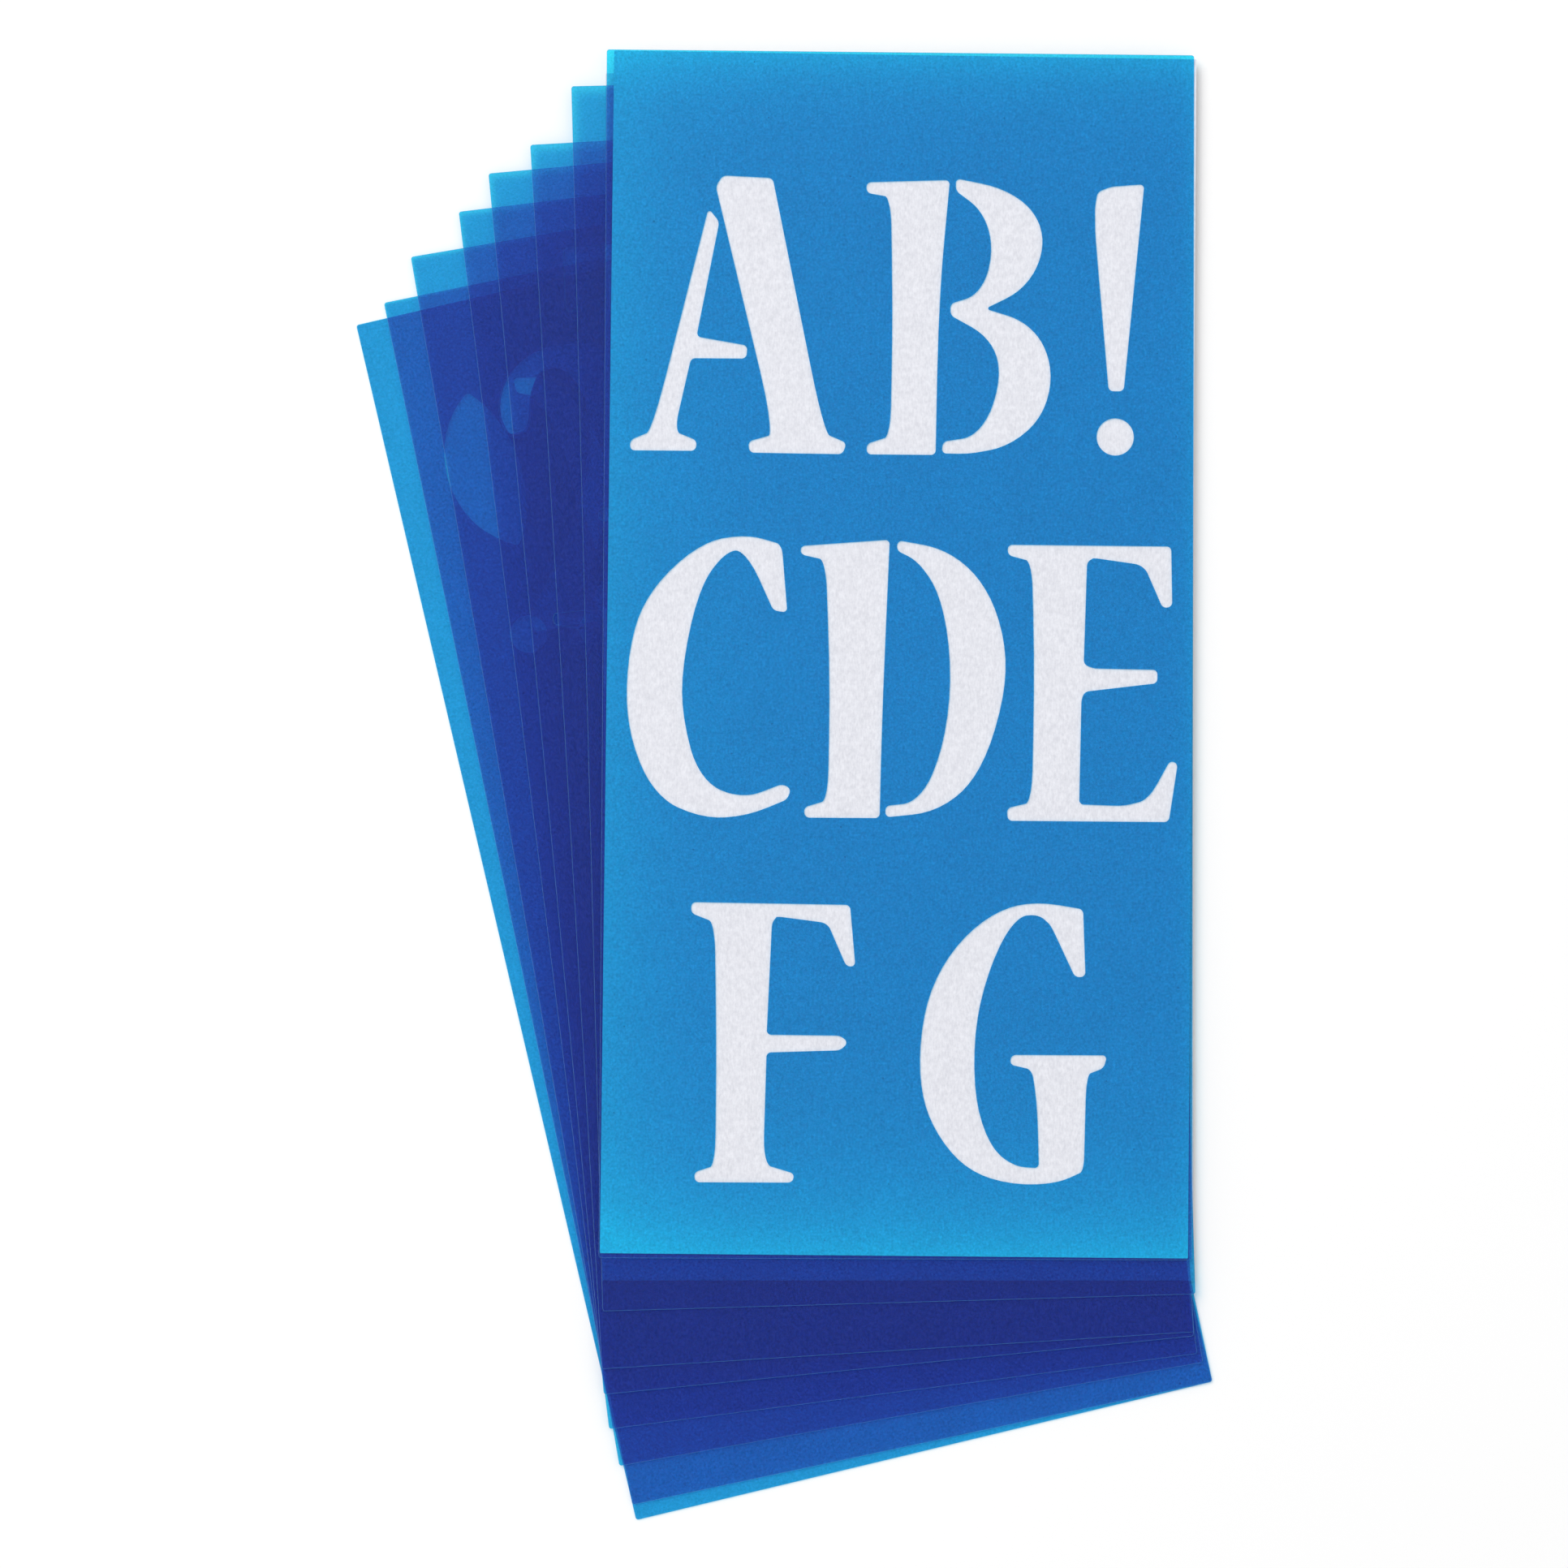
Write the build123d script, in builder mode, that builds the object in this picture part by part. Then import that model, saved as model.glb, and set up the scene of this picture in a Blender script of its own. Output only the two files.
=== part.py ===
from build123d import *
import math
import os

# A set of eight letter stencils in clear blue film, with two white paper interleaves.
# Millimetres. The sheets lie flat, fanned to the left, +Z up, with the letters upright along +Y.
# The origin is at the middle of the fan, on the face that it rests on.

# The films and the paper between them
film_thickness = 0.25
film_corner_radius = 0.5
paper_thickness = 0.1
paper_corner_radius = 0.2

# Air between one sheet and the next
sheet_gap = 0.05

# The letters
cap_height = 50.8  # two inches
row_gap = 15.8
bridge = 1.5  # the strip of film left between the parts of one letter
cutter_turn = 0.85  # how far from a sharp corner the cutter starts to turn
cut_overrun = 1.0

# The film above the highest row, and to the right of the furthest letter
head_margin = 25.0
front_head_margin = 23.2
edge_margin = 2.778

# The film below the lowest row
foot_margins = {
    "front_film": 13.8,
    "second_film": 15.0,
    "third_film": 21.0,
    "fourth_film": 25.0,
    "fifth_film": 26.0,
    "sixth_film": 19.1,
    "seventh_film": 21.7,
    "rear_film": 28.0,
}

# How much smaller than a film each paper is cut
front_paper_side_trim = 0.9
front_paper_end_trim = 1.0
rear_paper_side_trim = 0.2
rear_paper_end_trim = 3.0

# Letter parts, as shares of the cap height
bridge_share = bridge / cap_height
thick_share = 0.2
thin_share = 0.07
serif_share = 0.085
serif_tip_share = 0.04
bracket_share = 0.065
bracket_round_share = 0.5
bowl_depth_share = 0.36
digit_bowl_share = 0.275
dot_share = 0.134

# A bowl one deep and one high, open to the left: the outside down, then the inside up.
# A third value in a corner makes it round: 1 curves from the middle of one run to the middle of the next.
bowl_shares = [
    (0, 1), (0.45, 0.98, 1), (0.8, 0.86, 1), (1, 0.63, 1), (1, 0.37, 1), (0.8, 0.14, 1), (0.45, 0.02, 1), (0, 0),
    (0, 0.055), (0.25, 0.08, 1), (0.45, 0.24, 1), (0.5, 0.5, 1), (0.45, 0.76, 1), (0.25, 0.92, 1), (0, 0.945),
]


def stroke(head, foot, head_width=thick_share, foot_width=thick_share, serifs=""):
    """A straight stroke from the left corner of its head to that of its foot, with the serifs named."""
    def left_edge(height):
        return head[0] + (foot[0] - head[0]) * (head[1] - height) / (head[1] - foot[1])

    def right_edge(height):
        head_right, foot_right = head[0] + head_width, foot[0] + foot_width
        return head_right + (foot_right - head_right) * (head[1] - height) / (head[1] - foot[1])

    def serif(edge, end, inward, outward):
        tip = edge(end) + outward * serif_share
        return [
            (tip, end),
            (tip, end + inward * serif_tip_share),
            (edge(end + inward * bracket_share), end + inward * bracket_share, bracket_round_share),
        ]

    corners = []
    corners += serif(left_edge, head[1], -1, -1)[::-1] if "tl" in serifs else [head]
    corners += serif(right_edge, head[1], -1, 1) if "tr" in serifs else [(head[0] + head_width, head[1])]
    corners += serif(right_edge, foot[1], 1, 1)[::-1] if "br" in serifs else [(foot[0] + foot_width, foot[1])]
    corners += serif(left_edge, foot[1], 1, -1) if "bl" in serifs else [foot]
    return corners


def stem(left, serifs="tl tr bl br", foot=0, head=1, width=thick_share):
    """An upright stroke whose body starts at left."""
    return stroke((left, head), (left, foot), width, width, serifs)


def bowl(left, low=0, high=1, depth=bowl_depth_share, opens="left"):
    """A round stroke that swells in its middle, from the height low to the height high."""
    return [
        (left + depth * (corner[0] if opens == "left" else 1 - corner[0]), low + (high - low) * corner[1], *corner[2:])
        for corner in bowl_shares
    ]


def dot(left, low=0, size=dot_share):
    """A round dot: four corners whose arcs meet."""
    return [
        (left + size * across, low + size * up, 1) for across, up in ((0, 1), (1, 1), (1, 0), (0, 0))
    ]


def bar(left, low, width, height=0.065):
    """A plain level bar."""
    return [(left, low + height), (left + width, low + height), (left + width, low), (left, low)]


def ring(depth, low=0, high=1, left=0):
    """Two bowls that face each other across a bridge."""
    return [
        bowl(left, low, high, depth, "right"),
        bowl(left + depth + bridge_share, low, high, depth, "left"),
    ]


# Each letter is a list of closed outlines, and each outline a list of corners, in shares of the cap
# height from the letter's left foot.
letter_shares = {
    "A": [
        [(0.303, 0.963), (0.328, 1.003), (0.508, 0.995), (0.698, 0.072, 0.5), (0.779, 0.038), (0.765, -0.003),
         (0.43, 0), (0.425, 0.04), (0.522, 0.068, 0.5)],
        [(0.277, 0.883), (0.316, 0.835), (0.236, 0.418), (0.42, 0.387), (0.416, 0.34), (0.217, 0.34),
         (0.158, 0.075, 0.5), (0.24, 0.042), (0.235, 0.005), (0, 0.005), (0, 0.042), (0.078, 0.075, 0.5)],
    ],
    "B": [
        [(-0.005, 0.983), (0.296, 0.994), (0.257, 0.56, 1), (0.248, -0.003), (0, -0.003), (0, 0.035),
         (0.085, 0.063, 0.5), (0.092, 0.5, 1), (0.083, 0.93, 0.5), (-0.005, 0.945)],
        [(0.318, 1.0), (0.495, 0.966, 1), (0.615, 0.875, 1), (0.641, 0.74, 1), (0.57, 0.6, 1), (0.425, 0.528),
         (0.59, 0.478, 1), (0.673, 0.33, 1), (0.645, 0.15, 1), (0.525, 0.035, 1), (0.38, 0.001, 1), (0.27, 0.003),
         (0.275, 0.045), (0.413, 0.067, 1), (0.488, 0.27, 1), (0.452, 0.42, 1), (0.3, 0.503), (0.3, 0.545),
         (0.41, 0.58, 1), (0.457, 0.735, 1), (0.42, 0.88, 1), (0.318, 0.955)],
    ],
    "C": [
        [(0.554, 0.98, 0.3), (0.42, 1.018, 1), (0.25, 0.98, 1), (0.06, 0.79, 1), (0, 0.57, 1), (0, 0.31, 1),
         (0.098, 0.072, 1), (0.27, -0.008, 1), (0.43, 0, 1), (0.578, 0.062), (0.592, 0.1), (0.56, 0.117),
         (0.415, 0.06, 1), (0.262, 0.128, 1), (0.198, 0.36, 1), (0.199, 0.55, 1), (0.257, 0.82, 1),
         (0.348, 0.952, 1), (0.425, 0.962, 1), (0.525, 0.742), (0.575, 0.735)],
    ],
    "D": [
        [(0, 0.975), (0.32, 1.0), (0.295, 0.37, 1), (0.288, -0.003), (0.02, -0.003), (0.015, 0.033),
         (0.102, 0.06, 0.5), (0.108, 0.5, 1), (0.09, 0.925, 0.5), (0, 0.945)],
        [(0.35, 0.998), (0.53, 0.967, 1), (0.67, 0.84, 1), (0.743, 0.63, 1), (0.735, 0.42, 1), (0.647, 0.15, 1),
         (0.5, 0.02, 1), (0.31, 0), (0.308, 0.04), (0.434, 0.055, 1), (0.518, 0.25, 1), (0.548, 0.52, 1),
         (0.512, 0.785, 1), (0.43, 0.92, 1), (0.345, 0.962)],
    ],
    "E": [
        [(0, 0.985), (0.59, 0.983), (0.594, 0.766), (0.56, 0.76), (0.492, 0.915, 0.4), (0.31, 0.94, 0.3),
         (0.286, 0.925), (0.275, 0.555), (0.31, 0.54), (0.541, 0.537), (0.541, 0.489), (0.28, 0.457),
         (0.267, 0.43), (0.26, 0.05), (0.42, 0.045, 0.5), (0.51, 0.068, 0.8), (0.587, 0.209), (0.615, 0.2),
         (0.583, -0.011), (0.003, -0.01), (0, 0.035), (0.09, 0.057, 0.5), (0.098, 0.54, 1), (0.087, 0.925, 0.5),
         (0, 0.948)],
    ],
    "F": [
        [(0.003, 1.002), (0.572, 0.995), (0.592, 0.775), (0.56, 0.775), (0.492, 0.93, 0.3), (0.31, 0.953, 0.3),
         (0.292, 0.93), (0.275, 0.528), (0.54, 0.526), (0.568, 0.502), (0.54, 0.474), (0.275, 0.465),
         (0.265, 0.065, 0.5), (0.377, 0.032), (0.37, 0), (0.022, 0), (0.018, 0.035), (0.094, 0.06, 0.5),
         (0.096, 0.5, 1), (0.087, 0.93, 0.5), (0.002, 0.963)],
    ],
    "G": [
        [(0.42, 1.012, 1), (0.592, 0.984), (0.601, 0.742), (0.564, 0.74), (0.477, 0.925, 0.4), (0.43, 0.968, 1),
         (0.345, 0.953, 1), (0.257, 0.78, 1), (0.202, 0.56, 1), (0.203, 0.3, 1), (0.26, 0.13, 1), (0.345, 0.06, 1),
         (0.436, 0.055), (0.43, 0.28, 1), (0.41, 0.408, 0.5), (0.33, 0.426), (0.336, 0.46), (0.68, 0.46),
         (0.668, 0.415), (0.605, 0.39, 0.5), (0.597, 0.045, 0.3), (0.5, 0.0, 1), (0.34, -0.005, 1),
         (0.19, 0.04, 1), (0.083, 0.15, 1), (0.013, 0.3, 1), (0.004, 0.5, 1), (0.043, 0.7, 1), (0.143, 0.865, 1),
         (0.28, 0.977, 1)],
    ],
    "H": [stem(serif_share), bar(0.31, 0.48, 0.22), stem(0.555)],
    "I": [stem(serif_share)],
    "J": [
        [(0.1, 1), (0.47, 1), (0.47, 0.96), (0.385, 0.935, 0.5), (0.38, 0.18, 1), (0.28, 0, 1), (0.1, -0.02, 1),
         (0, 0.07, 1), (0.02, 0.18, 1), (0.1, 0.16, 1), (0.14, 0.05, 1), (0.185, 0.12, 1), (0.185, 0.935, 0.5),
         (0.1, 0.96)],
    ],
    "K": [
        stem(serif_share),
        stroke((0.54, 1), (0.32, 0.47), 0.08, thin_share, "tl tr"),
        stroke((0.46, 0.52), (0.58, 0), 0.17, thick_share, "bl br"),
    ],
    "L": [
        [(0, 1), (0.37, 1), (0.37, 0.96), (0.285, 0.935, 0.5), (0.265, 0.055), (0.42, 0.052, 0.5),
         (0.5, 0.095, 0.7), (0.58, 0.225), (0.62, 0.215), (0.585, 0), (0, 0), (0, 0.04), (0.085, 0.065, 0.5),
         (0.09, 0.935, 0.5), (0, 0.96)],
    ],
    "M": [
        stroke((0.085, 0.93), (0.085, 0), 0.04, thin_share, "bl br"),
        stroke((0.155, 1), (0.455, 0), thick_share, thin_share),
        stroke((0.715, 0.93), (0.535, 0.1), 0.05, 0.05),
        stem(0.805, "tr bl br"),
    ],
    "N": [
        stroke((0.085, 0.93), (0.085, 0), 0.04, thin_share, "bl br"),
        stroke((0.155, 1), (0.555, 0), 0.22, 0.1),
        stroke((0.71, 1), (0.71, 0.14), 0.08, 0.05, "tl tr"),
    ],
    "O": ring(bowl_depth_share),
    "P": [stem(serif_share, "tl bl br"), bowl(0.315, 0.44, 1, 0.3)],
    "Q": [
        *ring(bowl_depth_share),
        [(0.34, -0.04), (0.46, -0.045, 1), (0.62, -0.12, 1), (0.78, -0.11), (0.78, -0.15), (0.6, -0.2, 1),
         (0.42, -0.16, 1), (0.3, -0.09)],
    ],
    "R": [
        stem(serif_share, "tl bl br"), bowl(0.315, 0.44, 1, 0.3),
        stroke((0.37, 0.405), (0.52, 0), 0.18, thick_share, "br"),
    ],
    "S": [
        [(0.5, 0.99, 0.3), (0.38, 1.02, 1), (0.19, 0.99, 1), (0.05, 0.87, 1), (0.03, 0.68, 1), (0.14, 0.53, 1),
         (0.33, 0.42, 1), (0.38, 0.28, 1), (0.33, 0.1, 1), (0.2, 0.05, 1), (0.1, 0.12, 0.6), (0.05, 0.27),
         (0, 0.27), (0, 0.02, 0.3), (0.2, -0.02, 1), (0.42, 0.01, 1), (0.56, 0.14, 1), (0.57, 0.35, 1),
         (0.46, 0.5, 1), (0.26, 0.61, 1), (0.2, 0.72, 1), (0.22, 0.88, 1), (0.33, 0.96, 1), (0.42, 0.92, 0.6),
         (0.48, 0.77), (0.525, 0.77)],
    ],
    "T": [
        [(0.01, 1), (0.68, 1), (0.69, 0.77), (0.655, 0.77), (0.58, 0.93, 0.4), (0.45, 0.95), (0.435, 0.065, 0.5),
         (0.52, 0.04), (0.52, 0), (0.16, 0), (0.16, 0.04), (0.245, 0.065, 0.5), (0.24, 0.95), (0.11, 0.93, 0.4),
         (0.035, 0.77), (0, 0.77)],
    ],
    "U": [
        [(0, 1), (0.37, 1), (0.37, 0.96), (0.285, 0.935, 0.5), (0.285, 0.22, 1), (0.35, 0.07, 1), (0.5, 0.07, 1),
         (0.575, 0.22, 1), (0.58, 0.935, 0.5), (0.5, 0.96), (0.5, 1), (0.74, 1), (0.74, 0.96),
         (0.65, 0.935, 0.5), (0.645, 0.18, 1), (0.53, -0.01, 1), (0.33, -0.03, 1), (0.14, 0.03, 1),
         (0.085, 0.25, 1), (0.085, 0.935, 0.5), (0, 0.96)],
    ],
    "V": [
        stroke((0.085, 1), (0.34, 0), 0.22, 0.08, "tl tr"),
        stroke((0.61, 1), (0.455, 0.02), thin_share, 0.045, "tl tr"),
    ],
    "W": [
        stroke((0.085, 1), (0.27, 0), thick_share, 0.06, "tl"),
        stroke((0.475, 0.93), (0.365, 0.1), 0.05, 0.04),
        stroke((0.565, 1), (0.73, 0), thick_share, 0.06),
        stroke((0.96, 1), (0.825, 0.06), thin_share, 0.04, "tl tr"),
    ],
    "X": [
        stroke((0.085, 1), (0.46, 0), 0.22, 0.22, "tl tr bl br"),
        stroke((0.64, 1), (0.49, 0.58), thin_share, thin_share, "tl tr"),
        stroke((0.2, 0.42), (0.085, 0), thin_share, thin_share, "bl br"),
    ],
    "Y": [
        stroke((0.085, 1), (0.27, 0.45), 0.22, thick_share, "tl tr"),
        stroke((0.62, 1), (0.52, 0.5), thin_share, 0.06, "tl tr"),
        stem(0.29, "bl br", 0, 0.415),
    ],
    "Z": [
        [(0.03, 1), (0.62, 1), (0.62, 0.93), (0.27, 0.055), (0.43, 0.06, 0.5), (0.52, 0.1, 0.7), (0.58, 0.25),
         (0.62, 0.25), (0.6, 0), (0, 0), (0, 0.06), (0.35, 0.945), (0.17, 0.93, 0.5), (0.07, 0.76),
         (0.03, 0.76)],
    ],
    "0": ring(digit_bowl_share),
    "1": [stem(serif_share, "tl bl br")],
    "2": [
        [(0, 0.83, 1), (0.08, 0.96, 1), (0.24, 1.02, 1), (0.43, 0.98, 1), (0.53, 0.82, 1), (0.49, 0.6, 1),
         (0.3, 0.33, 1), (0.22, 0.14), (0.42, 0.14, 0.5), (0.5, 0.28), (0.54, 0.28), (0.52, 0), (0, 0),
         (0, 0.07, 0.5), (0.22, 0.37, 1), (0.32, 0.62, 1), (0.33, 0.82, 1), (0.25, 0.95, 1), (0.14, 0.9, 1),
         (0.1, 0.72, 0.6), (0.02, 0.72, 0.6)],
    ],
    "3": [
        [(0.02, 0.99, 0.3), (0.2, 1.015, 1), (0.42, 0.97, 1), (0.5, 0.78, 1), (0.44, 0.6, 1), (0.29, 0.528),
         (0.46, 0.47, 1), (0.55, 0.28, 1), (0.48, 0.06, 1), (0.27, -0.02, 1), (0.02, 0.02, 0.3), (0, 0.21),
         (0.045, 0.21), (0.12, 0.07, 0.7), (0.24, 0.05, 1), (0.34, 0.14, 1), (0.34, 0.38, 1), (0.17, 0.505),
         (0.17, 0.55), (0.3, 0.64, 1), (0.31, 0.86, 1), (0.22, 0.96, 1), (0.11, 0.92, 0.7), (0.05, 0.79),
         (0.01, 0.79)],
    ],
    "4": [
        [(0.26, 1), (0.31, 0.94), (0.1, 0.38), (0.3, 0.38), (0.3, 0.3), (0, 0.3), (0, 0.37)],
        stem(0.34, "bl br"),
        bar(0.575, 0.3, 0.08, 0.08),
    ],
    "5": [
        [(0.07, 1), (0.48, 1), (0.46, 0.86), (0.17, 0.86), (0.14, 0.63), (0.3, 0.67, 1), (0.48, 0.6, 1),
         (0.55, 0.36, 1), (0.5, 0.1, 1), (0.3, -0.02, 1), (0.02, 0.02, 0.3), (0, 0.21), (0.045, 0.21),
         (0.13, 0.07, 0.7), (0.25, 0.05, 1), (0.34, 0.16, 1), (0.34, 0.45, 1), (0.24, 0.58, 1), (0.08, 0.52, 0.3),
         (0.05, 0.55)],
    ],
    "6": [
        bowl(0, 0, 1, digit_bowl_share, "right"),
        bowl(digit_bowl_share + bridge_share, 0, 0.55, digit_bowl_share),
        dot(digit_bowl_share + bridge_share, 0.84),
    ],
    "7": [
        [(0, 1), (0.54, 1), (0.54, 0.94), (0.3, 0, 0.3), (0.1, 0, 0.3), (0.37, 0.85), (0.13, 0.85, 0.5), (0.04, 0.72),
         (0, 0.72)],
    ],
    "8": [*ring(digit_bowl_share, 0.515, 1), *ring(digit_bowl_share, 0, 0.485)],
    "9": [
        bowl(digit_bowl_share + bridge_share, 0, 1, digit_bowl_share),
        [(0.132, 0.984), (0.19, 0.92, 1), (0.255, 0.79, 1), (0.272, 0.63, 1), (0.25, 0.48, 1), (0.2, 0.4),
         (0.134, 0.44, 1), (0.056, 0.513, 1), (0, 0.641, 1), (0, 0.786, 1), (0.056, 0.914, 1)],
        dot(0.105, 0.015),
    ],
    "!": [
        [(-0.003, 0.9), (0.006, 0.955), (0.055, 0.975), (0.175, 0.985), (0.102, 0.233), (0.048, 0.233),
         (-0.002, 0.8, 0.4)],
        dot(0.005),
    ],
    "?": [
        [(0, 0.83, 1), (0.08, 0.96, 1), (0.24, 1.02, 1), (0.43, 0.98, 1), (0.52, 0.82, 1), (0.48, 0.62, 1),
         (0.32, 0.47, 1), (0.29, 0.23), (0.23, 0.23), (0.21, 0.45, 1), (0.31, 0.65, 1), (0.32, 0.83, 1),
         (0.24, 0.95, 1), (0.14, 0.9, 1), (0.1, 0.72, 0.6), (0.02, 0.72, 0.6)],
        dot(0.185),
    ],
    ".": [dot(0, size=thick_share)],
    "-": [bar(0, 0.4, 0.33, 0.09)],
}

# Each sheet from the table up: name, turn in degrees, and where its middle lies, measured from the rear
# film's middle in shares of the film's width and height.
fan_shares = [
    ("rear_film", 13.3, 0, 0),
    ("seventh_film", 11.8, 0.0232, 0.0092),
    ("sixth_film", 9.9, 0.038, 0.0359),
    ("fifth_film", 7.15, 0.0735, 0.058),
    ("rear_interleaf", -0.1, 0.195, 0.145),
    ("fourth_film", 5.5, 0.0958, 0.0808),
    ("third_film", 3.45, 0.131, 0.0943),
    ("second_film", 1.55, 0.167, 0.1338),
    ("front_interleaf", -0.6, 0.197, 0.163),
    ("front_film", -0.3, 0.194, 0.1627),
]

# The rows of letters on each film. Where no places are given, a row's letters are spaced evenly.
film_rows = {
    "front_film": ("AB!", "CDE", "FG"),
    "second_film": ("HI", "JK", "LM"),
    "third_film": ("NO", "PQ", "RS"),
    "fourth_film": ("TU", "VW", "XY"),
    "fifth_film": ("Z", "AE", "LO."),
    "sixth_film": ("23.", "45", ""),
    "seventh_film": ("980", "67", ""),
    "rear_film": ("?-", "E", ""),
}
# In shares of the cap height, from the film's left edge
left_shares = {"front_film": ((0.0935, 0.946, 1.771), (0.0872, 0.71, 1.4563), (0.321, 1.1395))}


def letter_width(letter):
    """How far the letter reaches to the right of its left foot."""
    return max(corner[0] for outline in letter_shares[letter] for corner in outline) * cap_height


# Every film is as wide as the front film's letters need, and as high as its rows need
film_width = edge_margin + max(
    left * cap_height + letter_width(letter)
    for letters, lefts in zip(film_rows["front_film"], left_shares["front_film"])
    for letter, left in zip(letters, lefts)
)
row_count = len(film_rows["front_film"])
rows_height = row_count * cap_height + (row_count - 1) * row_gap
film_height = foot_margins["second_film"] + rows_height + head_margin
front_film_height = foot_margins["front_film"] + rows_height + front_head_margin

# Width, height, thickness and corner radius
film_size = (film_width, film_height, film_thickness, film_corner_radius)
sheet_sizes = {
    "front_film": (film_width, front_film_height, film_thickness, film_corner_radius),
    "front_interleaf": (
        film_width - front_paper_side_trim, front_film_height - front_paper_end_trim,
        paper_thickness, paper_corner_radius,
    ),
    "rear_interleaf": (
        film_width - rear_paper_side_trim, film_height - rear_paper_end_trim,
        paper_thickness, paper_corner_radius,
    ),
}


# A sharp corner's curve may take this much of half a run
sharp_room_share = 0.9


def curve_reach(length, softness):
    """How far along a run of this length the curve at its corner reaches."""
    return length / 2 * softness if softness else min(cutter_turn, length / 2 * sharp_room_share)


def straight_runs(points, softness):
    """What stays straight of the run from each corner to the next: where it starts and where it ends."""
    runs = []
    for i, point in enumerate(points):
        ahead = (i + 1) % len(points)
        run = points[ahead] - point
        start = point + run.normalized() * curve_reach(run.length, softness[i])
        if softness[i] == 1 and softness[ahead] == 1:
            end = start
        else:
            end = points[ahead] - run.normalized() * curve_reach(run.length, softness[ahead])
        runs.append((start, end))
    return runs


def corner_curve(start, corner, end):
    """The four control points that round a corner, as a circle's arc would where its legs are equal."""
    half_turn = math.radians((corner - start).get_angle(end - corner)) / 2
    pull = 4 / 3 * math.tan(half_turn / 2) / math.tan(half_turn)
    return start, start + (corner - start) * pull, end + (corner - end) * pull, end


def row_lefts(name, row, letters):
    """The left foot of each letter in a row, from the film's left edge."""
    if name in left_shares:
        return [share * cap_height for share in left_shares[name][row]]
    widths = [letter_width(letter) for letter in letters]
    space = (film_width - sum(widths)) / (len(letters) + 1)
    return [space * (i + 1) + sum(widths[:i]) for i in range(len(letters))]


def letter_outlines(name):
    """The corners and arc shares of every outline on a film, measured from the film's middle."""
    width, height = sheet_sizes.get(name, film_size)[:2]
    outlines = []
    for row, letters in enumerate(film_rows[name]):
        rows_below = len(film_rows[name]) - 1 - row
        baseline = foot_margins[name] - height / 2 + rows_below * (cap_height + row_gap)
        for letter, left in zip(letters, row_lefts(name, row, letters)):
            for outline in letter_shares[letter]:
                points = [
                    Vector(left - width / 2 + corner[0] * cap_height, baseline + corner[1] * cap_height)
                    for corner in outline
                ]
                outlines.append((points, [corner[2] if len(corner) > 2 else 0 for corner in outline]))
    return outlines


def make_sheet(name, place):
    """One sheet on its plane, with its letters cut through if it is a film."""
    width, height, thickness, corner = sheet_sizes.get(name, film_size)
    with BuildPart() as sheet:
        with BuildSketch(place):
            RectangleRounded(width, height, corner)
        extrude(amount=thickness)
        if name in film_rows:
            with BuildSketch(place.offset(-cut_overrun)):
                for points, softness in letter_outlines(name):
                    with BuildLine():
                        runs = straight_runs(points, softness)
                        for i, corner in enumerate(points):
                            Bezier(*corner_curve(runs[i - 1][1], corner, runs[i][0]))
                            if runs[i][0] != runs[i][1]:
                                Line(*runs[i])
                    make_face()
            extrude(amount=thickness + 2 * cut_overrun, mode=Mode.SUBTRACT)
    return sheet.part


def sheet_corners(name, turn, middle):
    """The four corners of a sheet that is turned about its middle."""
    width, height = sheet_sizes.get(name, film_size)[:2]
    return [
        middle + Vector(width / 2 * across, height / 2 * up).rotate(Axis.Z, turn)
        for across in (-1, 1)
        for up in (-1, 1)
    ]


# The middle of the whole fan, which the origin lies under
middles = {name: Vector(film_width * right, film_height * up) for name, turn, right, up in fan_shares}
corners = [corner for name, turn, right, up in fan_shares for corner in sheet_corners(name, turn, middles[name])]
fan_middle = Vector(
    (min(corner.X for corner in corners) + max(corner.X for corner in corners)) / 2,
    (min(corner.Y for corner in corners) + max(corner.Y for corner in corners)) / 2,
)

os.makedirs("parts", exist_ok=True)
level = 0
for name, turn, right, up in fan_shares:
    spot = middles[name] - fan_middle
    turned = Vector(1, 0).rotate(Axis.Z, turn)
    sheet = make_sheet(name, Plane(origin=(spot.X, spot.Y, level), x_dir=turned, z_dir=(0, 0, 1)))
    sheet.label = name
    export_step(sheet, f"parts/{name}.step")
    print(f"{name}: middle {spot.X:.3f}, {spot.Y:.3f}, underside {level:.2f}, turn {turn}")
    level += sheet_sizes.get(name, film_size)[2] + sheet_gap
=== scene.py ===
# Eight letter stencils in thin blue film, fanned on a white table, with two sheets of white paper between them.
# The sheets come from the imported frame. This script gives them their cut edges and finishes, light and a camera.
import math

import bmesh
import bpy
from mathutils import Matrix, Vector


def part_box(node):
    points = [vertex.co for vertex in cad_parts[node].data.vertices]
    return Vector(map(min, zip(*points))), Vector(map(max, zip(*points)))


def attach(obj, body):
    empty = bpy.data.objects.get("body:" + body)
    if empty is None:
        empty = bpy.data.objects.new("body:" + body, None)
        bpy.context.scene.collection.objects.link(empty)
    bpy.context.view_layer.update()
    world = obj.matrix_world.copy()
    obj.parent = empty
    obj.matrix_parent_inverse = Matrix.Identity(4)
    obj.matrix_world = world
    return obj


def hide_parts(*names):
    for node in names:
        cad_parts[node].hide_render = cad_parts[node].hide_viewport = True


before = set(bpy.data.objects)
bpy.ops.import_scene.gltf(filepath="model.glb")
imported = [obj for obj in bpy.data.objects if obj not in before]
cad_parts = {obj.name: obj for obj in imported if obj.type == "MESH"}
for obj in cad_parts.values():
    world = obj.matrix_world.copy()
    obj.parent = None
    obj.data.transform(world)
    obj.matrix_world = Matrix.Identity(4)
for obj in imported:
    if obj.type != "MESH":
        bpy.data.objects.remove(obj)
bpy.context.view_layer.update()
print("frame loaded:", len(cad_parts), "nodes")

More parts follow.
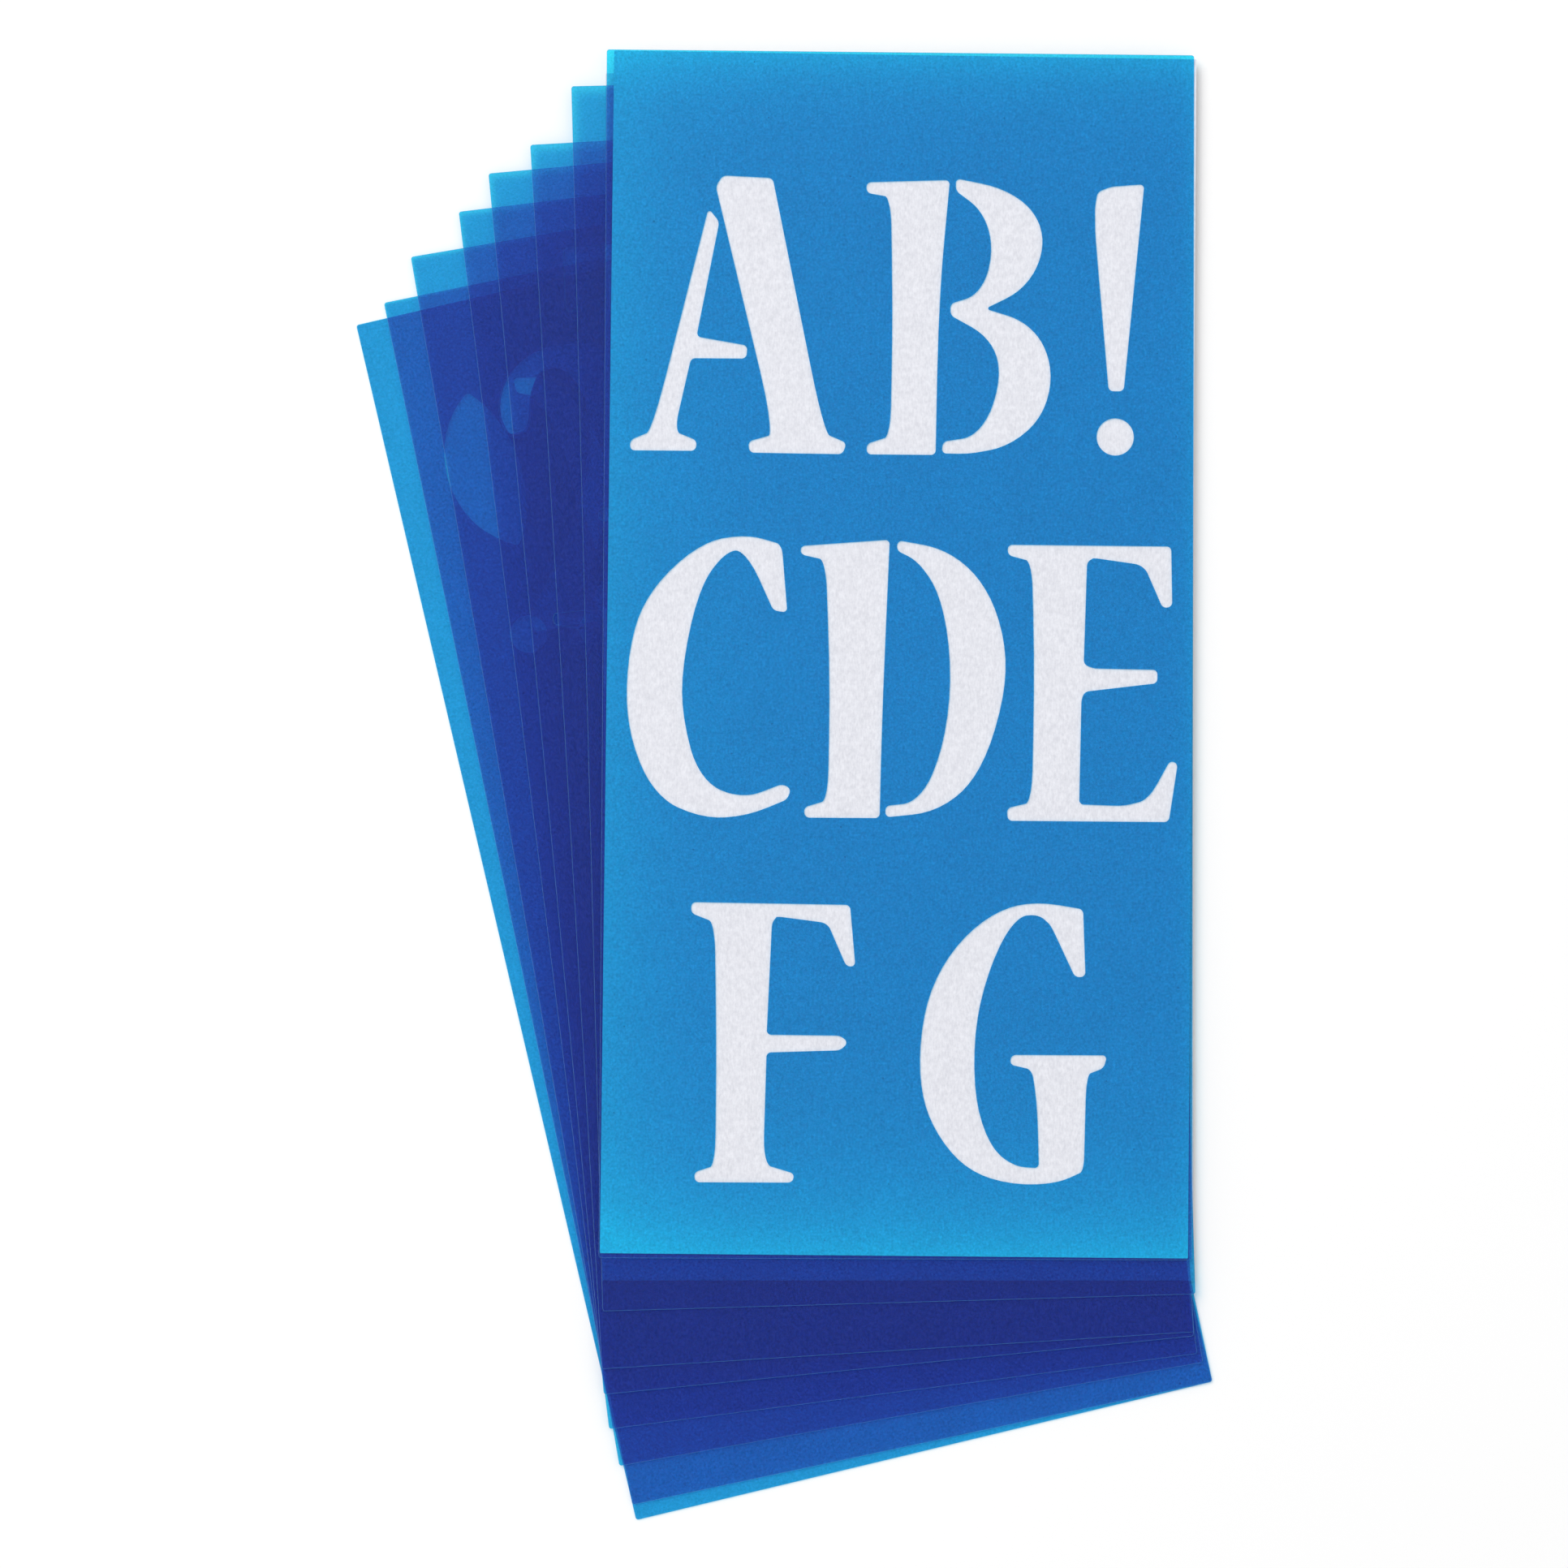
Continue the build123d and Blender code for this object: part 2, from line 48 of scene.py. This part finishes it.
millimetre = 0.001
noiseReach = {"From Min": 0.3, "From Max": 0.7}  # where nearly all of a noise texture's values lie


def hexToLinear(hexText):
    # sRGB hex to the linear colour that the shaders take
    channels = [int(hexText[i:i + 2], 16) / 255 for i in (0, 2, 4)]
    return [c / 12.92 if c <= 0.04045 else ((c + 0.055) / 1.055) ** 2.4 for c in channels] + [1]


def addNode(tree, kind, inputs=None, **settings):
    # inputs holds a value or another node's socket for each named or numbered input
    node = tree.nodes.new(kind)
    for name, value in settings.items():
        setattr(node, name, value)
    for name, value in (inputs or {}).items():
        if isinstance(value, bpy.types.NodeSocket):
            tree.links.new(value, node.inputs[name])
        else:
            node.inputs[name].default_value = value
    return node


def newMaterial(name):
    material = bpy.data.materials.new(name)
    material.use_nodes = True
    material.node_tree.nodes.clear()
    return material, material.node_tree


# ---- the blue film

filmTurns = {  # degrees, as each film lies in the fan
    "rear_film": 13.3, "seventh_film": 11.8, "sixth_film": 9.9, "fifth_film": 7.15,
    "fourth_film": 5.5, "third_film": 3.45, "second_film": 1.55, "front_film": -0.3,
}

film = {
    "rimWidth": 0.055,  # mm, the slope that the cutter leaves along each edge
    "rimSegments": 1,
    "sharpest": 60.0,  # degrees that two faces turn at a cut edge, at least
    "level": 0.99,  # how far up or down a face points that isn't part of the cut
    "weld": 0.001,  # mm
    "tint": "6fe7f6",  # seen through one face
    "haze": "675ecb",
    "hazeShare": 0.1,
    "hazeSpread": 0.05,
    "grain": 0.42,  # mm, the satin embossing; the real one is nearer 0.05 mm and wouldn't show
    "grainDetail": 3.0,
    "grainRoughness": 0.6,
    "grainDepth": 0.42,  # how much the light through the film changes with the grain
    "bumpStrength": 0.25,
    "bumpHeight": 0.02,  # mm
    "cloud": 9.0,  # mm, slow changes in the film's depth of colour
    "cloudDetail": 2.0,
    "cloudRoughness": 0.5,
    "cloudDepth": 0.03,
    "speckSpacing": 17.0,  # mm, specks in the film and dust on it
    "speckRadius": 0.16,  # mm
    "speckLight": 0.82,  # what gets through one
    "roughness": 0.36,
    "ior": 1.6,
}

# The sheet on top lies on white paper and lifts a little all round, so more light gets under it at its edges. That
# light is painted into its tint, which turns paler towards each edge.
topFilm = {
    "size": (108.0, 221.0),  # mm
    "tint": "6fe3f5",
    "paintedEdgeLightTint": "6ff6ff",
    # the axis each edge lies across, the way in from it, how much painted light it adds to the tint, and how far,
    # in mm
    "edges": {
        "left": (0, 1, 0.45, 13.0),
        "right": (0, -1, 0.3, 1.5),
        "foot": (1, 1, 0.882, 12.0),
        "head": (1, -1, 0.74, 6.0),
    },
}


def paintedEdgeLightMask(tree, onFilm):
    # the painted light from all four edges, added up: a mask that turns the top film's tint paler towards its
    # edges
    across = addNode(tree, "ShaderNodeSeparateXYZ", {0: onFilm})
    total = 0.0
    for axis, way, share, reach in topFilm["edges"].values():
        away = addNode(tree, "ShaderNodeMath", {
            0: across.outputs[axis], 1: way, 2: topFilm["size"][axis] / 2 * millimetre,
        }, operation="MULTIPLY_ADD")
        fall = addNode(tree, "ShaderNodeMath", {
            0: away.outputs[0], 1: -1 / (reach * millimetre),
        }, operation="MULTIPLY")
        remains = addNode(tree, "ShaderNodeMath", {0: fall.outputs[0]}, operation="EXPONENT")
        total = addNode(tree, "ShaderNodeMath", {
            0: remains.outputs[0], 1: share, 2: total,
        }, operation="MULTIPLY_ADD").outputs[0]
    return total


def filmMaterial(nodeName, turn):
    # Polyester film, dyed blue in the melt and embossed to a satin face: clear and deep in colour, with a soft
    # sheen and a little milky haze of its own.
    material, tree = newMaterial("dyedPolyesterFilm_" + nodeName)
    low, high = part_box(nodeName)
    middle = (low + high) / 2
    place = addNode(tree, "ShaderNodeTexCoord").outputs["Object"]
    onFilm = addNode(tree, "ShaderNodeMapping", {
        "Vector": place, "Location": (middle.x, middle.y, 0), "Rotation": (0, 0, math.radians(turn)),
    }, vector_type="TEXTURE").outputs[0]

    # what the film lets through: its tint, with the cloud, the grain and the specks
    cloud, grain = [
        addNode(tree, "ShaderNodeTexNoise", {
            "Vector": onFilm, "Scale": 1 / (film[noise] * millimetre),
            "Detail": film[noise + "Detail"], "Roughness": film[noise + "Roughness"],
        }).outputs[0]
        for noise in ("cloud", "grain")
    ]
    cloudDepth, grainDepth = [
        addNode(tree, "ShaderNodeMath", {0: noise, 1: film[depth], 2: -film[depth] / 2},
                operation="MULTIPLY_ADD").outputs[0]
        for noise, depth in ((cloud, "cloudDepth"), (grain, "grainDepth"))
    ]
    depth = addNode(tree, "ShaderNodeMath", {0: cloudDepth, 1: grainDepth}, operation="ADD").outputs[0]
    paler = addNode(tree, "ShaderNodeMath", {0: depth, 1: 1.0}, operation="ADD").outputs[0]
    speck = addNode(tree, "ShaderNodeTexVoronoi", {
        "Vector": onFilm, "Scale": 1 / (film["speckSpacing"] * millimetre),
    }, voronoi_dimensions="2D")
    speckEdge = film["speckRadius"] / film["speckSpacing"]
    pastSpeck = addNode(tree, "ShaderNodeMapRange", {
        "Value": speck.outputs["Distance"], "From Min": speckEdge / 2, "From Max": speckEdge,
        "To Min": film["speckLight"], "To Max": 1.0,
    }).outputs[0]
    through = addNode(tree, "ShaderNodeMath", {0: paler, 1: pastSpeck}, operation="MULTIPLY").outputs[0]
    # the top film's tint is painted paler towards its edges, for the light that gets under them
    if nodeName == "front_film":
        tint = addNode(tree, "ShaderNodeMix", {
            0: paintedEdgeLightMask(tree, onFilm), 6: hexToLinear(topFilm["tint"]), 7: hexToLinear(topFilm["paintedEdgeLightTint"]),
        }, data_type="RGBA").outputs[2]
    else:
        tint = hexToLinear(film["tint"])[:3]
    varied = addNode(tree, "ShaderNodeVectorMath", {0: tint, "Scale": through}, operation="SCALE")
    clear = addNode(tree, "ShaderNodeBsdfTransparent", {"Color": varied.outputs[0]})

    # and the haze and sheen on its faces
    share = addNode(tree, "ShaderNodeMapRange", {
        "Value": grain, **noiseReach,
        "To Min": film["hazeShare"] - film["hazeSpread"] / 2, "To Max": film["hazeShare"] + film["hazeSpread"] / 2,
    })
    bump = addNode(tree, "ShaderNodeBump", {
        "Height": grain, "Strength": film["bumpStrength"], "Distance": film["bumpHeight"] * millimetre,
    })
    satin = addNode(tree, "ShaderNodeBsdfPrincipled", {
        "Base Color": hexToLinear(film["haze"]), "Roughness": film["roughness"], "IOR": film["ior"],
        "Normal": bump.outputs[0],
    })
    both = addNode(tree, "ShaderNodeMixShader", {0: share.outputs[0], 1: clear.outputs[0], 2: satin.outputs[0]})
    addNode(tree, "ShaderNodeOutputMaterial", {"Surface": both.outputs[0]})
    return material


# the cut edges are painted paler than the film, as a glow for the light that comes out of them
cutEdgePaintedGlow = {
    "tint": "a0ecff",
    "face": "86b4dc",
    "faceShare": 0.3,
    "roughness": 0.5,
}


def paintedGlowEdgeMaterial():
    # The same film where the die went through it, with a painted glow: the tint and face colour are paler than the
    # film's own, for the light that runs inside the sheet and comes out here, so every outline is drawn by a thin
    # pale line.
    material, tree = newMaterial("dieCutFilmEdgePaintedGlow")
    clear = addNode(tree, "ShaderNodeBsdfTransparent", {"Color": hexToLinear(cutEdgePaintedGlow["tint"])})
    face = addNode(tree, "ShaderNodeBsdfPrincipled", {
        "Base Color": hexToLinear(cutEdgePaintedGlow["face"]), "Roughness": cutEdgePaintedGlow["roughness"], "IOR": film["ior"],
    })
    both = addNode(tree, "ShaderNodeMixShader", {0: cutEdgePaintedGlow["faceShare"], 1: clear.outputs[0], 2: face.outputs[0]})
    addNode(tree, "ShaderNodeOutputMaterial", {"Surface": both.outputs[0]})
    return material


def cutFilm(nodeName, faceMaterial, paintedGlowMaterial):
    # a copy of the sheet with the slope of the cut along every edge
    build = bmesh.new()
    build.from_mesh(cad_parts[nodeName].data)
    bmesh.ops.remove_doubles(build, verts=build.verts, dist=film["weld"] * millimetre)
    rim = [
        edge for edge in build.edges
        if len(edge.link_faces) == 2 and edge.calc_face_angle(0) > math.radians(film["sharpest"])
        and abs(edge.verts[0].co.z - edge.verts[1].co.z) < film["weld"] * millimetre
    ]
    bmesh.ops.bevel(
        build, geom=rim, offset=film["rimWidth"] * millimetre, offset_type="OFFSET", affect="EDGES",
        segments=film["rimSegments"], profile=0.5, material=-1, clamp_overlap=False, loop_slide=False,
    )
    for face in build.faces:
        face.material_index = 0 if abs(face.normal.z) > film["level"] else 1
    mesh = bpy.data.meshes.new(nodeName + "_cut")
    build.to_mesh(mesh)
    build.free()
    mesh.materials.append(faceMaterial)
    mesh.materials.append(paintedGlowMaterial)
    piece = bpy.data.objects.new(nodeName + "_cut", mesh)
    bpy.context.scene.collection.objects.link(piece)
    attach(piece, nodeName)
    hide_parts(nodeName)
    return piece


edgeFinishPaintedGlow = paintedGlowEdgeMaterial()
for nodeName, turn in filmTurns.items():
    piece = cutFilm(nodeName, filmMaterial(nodeName, turn), edgeFinishPaintedGlow)
    print(nodeName, "cut:", len(piece.data.polygons), "faces")

# ---- the paper between the films

paper = {
    "pale": "e9eaf1",
    "dim": "d6d7df",
    "cloud": 0.9,  # mm, the clumps of fibre that show against the light
    "cloudDetail": 4.0,
    "cloudRoughness": 0.65,
    "fibre": 0.35,  # mm, fibres laid along the sheet; the real ones are finer and wouldn't show
    "fibreDetail": 2.0,
    "fibreRoughness": 0.6,
    "fibreStretch": 3.0,
    "fibreShare": 0.5,
    "dimBelow": 0.36,
    "paleAbove": 0.64,
    "toothStrength": 0.3,
    "toothHeight": 0.03,  # mm
    "roughness": 0.85,
}


def paperMaterial():
    # Wood pulp tissue, formed on a wire and left unsized: dull white, cloudy, with a faint tooth.
    material, tree = newMaterial("unsizedPulpPaper")
    place = addNode(tree, "ShaderNodeTexCoord").outputs["Object"]
    along = addNode(tree, "ShaderNodeMapping", {"Vector": place, "Scale": (1, 1 / paper["fibreStretch"], 1)})
    cloud, fibre = [
        addNode(tree, "ShaderNodeTexNoise", {
            "Vector": where, "Scale": 1 / (paper[noise] * millimetre),
            "Detail": paper[noise + "Detail"], "Roughness": paper[noise + "Roughness"],
        }).outputs[0]
        for noise, where in (("cloud", place), ("fibre", along.outputs[0]))
    ]
    together = addNode(tree, "ShaderNodeMix", {0: paper["fibreShare"], 2: cloud, 3: fibre}, data_type="FLOAT")
    level = addNode(tree, "ShaderNodeMapRange", {
        "Value": together.outputs[0], "From Min": paper["dimBelow"], "From Max": paper["paleAbove"],
    })
    colour = addNode(tree, "ShaderNodeMix", {
        0: level.outputs[0], 6: hexToLinear(paper["dim"]), 7: hexToLinear(paper["pale"]),
    }, data_type="RGBA")
    bump = addNode(tree, "ShaderNodeBump", {
        "Height": fibre, "Strength": paper["toothStrength"], "Distance": paper["toothHeight"] * millimetre,
    })
    sheet = addNode(tree, "ShaderNodeBsdfPrincipled", {
        "Base Color": colour.outputs[2], "Roughness": paper["roughness"], "Normal": bump.outputs[0],
    })
    addNode(tree, "ShaderNodeOutputMaterial", {"Surface": sheet.outputs[0]})
    return material


paperFinish = paperMaterial()
for nodeName in ("front_interleaf", "rear_interleaf"):
    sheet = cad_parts[nodeName]
    sheet.data.materials.clear()
    sheet.data.materials.append(paperFinish)
print("paper dressed")

# ---- the table, the light and the camera

table = {
    "side": 8.0,  # m
    "drop": 0.1,  # mm below the lowest film
    "colour": "fbfbfb",
    "roughness": 0.7,
}

build = bmesh.new()
bmesh.ops.create_grid(build, x_segments=1, y_segments=1, size=table["side"] / 2)
bmesh.ops.translate(build, verts=build.verts, vec=(0, 0, -table["drop"] * millimetre))
tableMesh = bpy.data.meshes.new("table")
build.to_mesh(tableMesh)
build.free()
tableTop = bpy.data.objects.new("table", tableMesh)
bpy.context.scene.collection.objects.link(tableTop)
tableFinish, tree = newMaterial("mattWhiteLaminate")  # melamine, pressed matt: even white with no visible gloss
top = addNode(tree, "ShaderNodeBsdfPrincipled", {
    "Base Color": hexToLinear(table["colour"]), "Roughness": table["roughness"],
})
addNode(tree, "ShaderNodeOutputMaterial", {"Surface": top.outputs[0]})
tableMesh.materials.append(tableFinish)

lamp = {
    "side": 2.0,  # m
    "distance": 3.0,  # m
    "up": 56.0,  # degrees from the table
    "around": 135.0,  # degrees from +X
    "watts": 53.0,
}
room = {"strength": 0.635}

keyData = bpy.data.lights.new("softbox", "AREA")
keyData.shape = "SQUARE"
keyData.size = lamp["side"]
keyData.energy = lamp["watts"]
key = bpy.data.objects.new("softbox", keyData)
up, around = math.radians(lamp["up"]), math.radians(lamp["around"])
key.location = (
    lamp["distance"] * math.cos(up) * math.cos(around),
    lamp["distance"] * math.cos(up) * math.sin(around),
    lamp["distance"] * math.sin(up),
)
key.rotation_euler = (-key.location).to_track_quat("-Z", "Y").to_euler()
bpy.context.scene.collection.objects.link(key)

world = bpy.data.worlds.new("studio")
world.use_nodes = True
world.node_tree.nodes.clear()
sky = addNode(world.node_tree, "ShaderNodeBackground", {"Color": (1, 1, 1, 1), "Strength": room["strength"]})
addNode(world.node_tree, "ShaderNodeOutputWorld", {"Surface": sky.outputs[0]})
bpy.context.scene.world = world

view = {
    "lens": 111.8,  # mm
    "sensor": 36.0,  # mm
    "nearest": 0.05,  # m
    "place": (-22.73, -35.957, 890.224),  # mm
    "tilt": (2.2866, -1.4696, 0),  # degrees
}

cameraData = bpy.data.cameras.new("camera")
cameraData.lens = view["lens"]
cameraData.sensor_width = view["sensor"]
cameraData.clip_start = view["nearest"]
camera = bpy.data.objects.new("camera", cameraData)
camera.location = [value * millimetre for value in view["place"]]
camera.rotation_euler = [math.radians(angle) for angle in view["tilt"]]
bpy.context.scene.collection.objects.link(camera)
bpy.context.scene.camera = camera

scene = bpy.context.scene
scene.view_settings.view_transform = "Standard"
scene.cycles.transparent_max_bounces = 64  # sixteen film faces each way, and their cut edges
scene.cycles.max_bounces = 16
print("table, light and camera set")
